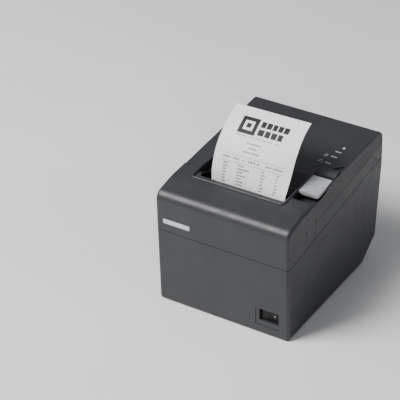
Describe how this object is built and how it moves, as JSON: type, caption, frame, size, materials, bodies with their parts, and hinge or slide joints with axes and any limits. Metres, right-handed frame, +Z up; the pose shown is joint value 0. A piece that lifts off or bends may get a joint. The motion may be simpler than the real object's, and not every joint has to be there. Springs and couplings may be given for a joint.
{
  "type": "receipt printer",
  "caption": "Compact thermal receipt printer: dark case with a sliding front cover, hinged roll cover with paper scoop, grey open lever and a printed receipt.",
  "frame": {"origin": "centre of the footprint, on the surface that the printer stands on", "axes": "+Z up, -Y is the front, +X is the right side seen from the front"},
  "size_m": [0.145, 0.1864, 0.1819],
  "materials": {
    "dark_case": "fine textured dark grey moulded plastic",
    "black_plastic": "black moulded plastic",
    "lever_grey": "light grey moulded plastic",
    "badge_grey": "satin light grey badge",
    "white_plastic": "natural acetal",
    "rubber": "matt black rubber",
    "steel": "ground steel",
    "plated_steel": "zinc plated sheet steel",
    "aluminium": "extruded aluminium",
    "brass": "machined brass",
    "ceramic": "glazed ceramic with a dark heater line",
    "flex_cable": "amber flexible circuit",
    "circuit_board": "green solder mask",
    "lamp_lens": "frosted light pipe",
    "paper": "smooth thermal paper, stood in for by matte plastic",
    "card": "wound card tube"
  },
  "bodies": {
    "chassis": {"lower_case": "dark_case", "upper_case": "dark_case", "rubber_feet": "rubber", "case_screws": "steel", "hinge_pins": "steel", "mechanism_frame": "plated_steel", "latch_pins": "steel", "idler_pin": "steel", "feed_motor": "plated_steel", "thermal_head": "ceramic", "head_heatsink": "aluminium", "head_springs": "steel", "head_cable": "flex_cable", "cutter_frame": "plated_steel", "cutter_axle": "steel", "cutter_motor": "plated_steel", "paper_tray": "black_plastic", "paper_web": "paper", "near_end_sensor": "black_plastic", "main_board": "circuit_board", "board_parts": "black_plastic", "connector_plate": "plated_steel", "power_jack": "black_plastic", "drawer_jack": "white_plastic", "network_port": "plated_steel", "usb_port": "plated_steel", "switch_body": "black_plastic"},
    "front_cover": {"front_cover": "dark_case", "badge": "badge_grey"},
    "roll_cover": {"roll_cover": "dark_case", "cover_inner": "black_plastic", "platen_bushes": "white_plastic", "fixed_blade": "steel", "panel_board": "circuit_board", "status_lamps": "lamp_lens", "receipt_paper": "paper"},
    "open_lever": {"open_lever": "lever_grey", "lever_shaft": "steel", "latch_hooks": "plated_steel"},
    "feed_button": {"feed_button": "dark_case"},
    "power_rocker": {"power_rocker": "black_plastic"},
    "platen": {"platen_rubber": "rubber", "platen_shaft": "steel", "platen_gear": "black_plastic"},
    "idler": {"idler_gear": "white_plastic"},
    "feed_pinion": {"feed_pinion": "brass"},
    "paper_roll": {"paper_roll": "paper", "roll_core": "card"},
    "cutter_blade": {"cutter_blade": "steel"},
    "cutter_gear": {"cutter_gear": "white_plastic"},
    "cutter_pinion": {"cutter_pinion": "brass"}
  },
  "joints": [
    {"name": "roll_cover_hinge", "type": "hinge", "parent": "chassis", "child": "roll_cover", "pos_m": [0, 0.08545, 0.115], "axis": [1, 0, 0], "range_deg": [-85, 0]},
    {"name": "front_cover_slide", "type": "slide", "parent": "chassis", "child": "front_cover", "axis": [0, -1, 0], "range_m": [0, 0.018]},
    {"name": "open_lever_pivot", "type": "hinge", "parent": "roll_cover", "child": "open_lever", "pos_m": [0, -0.01025, 0.1232], "axis": [1, 0, 0], "range_deg": [-18, 0], "stiffness_Nm_per_rad": 0.15, "springref_deg": 5.73},
    {"name": "feed_button_press", "type": "slide", "parent": "roll_cover", "child": "feed_button", "axis": [0, 0, 1], "range_m": [-0.0012, 0], "stiffness_N_per_m": 400, "springref_m": 0.0005},
    {"name": "power_rocker_tilt", "type": "hinge", "parent": "chassis", "child": "power_rocker", "pos_m": [0.05125, -0.08675, 0.02175], "axis": [0, 0, 1], "range_deg": [-14, 0]},
    {"name": "platen_turn", "type": "hinge", "parent": "roll_cover", "child": "platen", "pos_m": [0, -0.04055, 0.1105], "axis": [1, 0, 0], "continuous": true},
    {"name": "idler_turn", "type": "hinge", "parent": "chassis", "child": "idler", "pos_m": [-0.047, -0.04055, 0.09125], "axis": [1, 0, 0], "continuous": true},
    {"name": "feed_pinion_turn", "type": "hinge", "parent": "chassis", "child": "feed_pinion", "pos_m": [-0.047, -0.05318, 0.08201], "axis": [1, 0, 0], "continuous": true},
    {"name": "paper_roll_turn", "type": "hinge", "parent": "chassis", "child": "paper_roll", "pos_m": [0.002, 0.02775, 0.062], "axis": [1, 0, 0], "continuous": true},
    {"name": "cutter_blade_slide", "type": "slide", "parent": "chassis", "child": "cutter_blade", "axis": [0, 1, 0], "range_m": [0, 0.009]},
    {"name": "cutter_gear_turn", "type": "hinge", "parent": "chassis", "child": "cutter_gear", "pos_m": [-0.028, -0.06725, 0.114], "axis": [0, 0, 1], "range_deg": [0, 81]},
    {"name": "cutter_pinion_turn", "type": "hinge", "parent": "chassis", "child": "cutter_pinion", "pos_m": [-0.01345, -0.06725, 0.111], "axis": [0, 0, 1], "range_deg": [-390, 0]}
  ],
  "couplings": [
    {"joint": "platen_turn", "follows": "paper_roll_turn", "ratio": 6.0769},
    {"joint": "idler_turn", "follows": "paper_roll_turn", "ratio": -3.6462},
    {"joint": "feed_pinion_turn", "follows": "paper_roll_turn", "ratio": 12.154},
    {"joint": "cutter_gear_turn", "follows": "cutter_blade_slide", "rad_per_m": 156.25},
    {"joint": "cutter_pinion_turn", "follows": "cutter_blade_slide", "rad_per_m": -750}
  ]
}
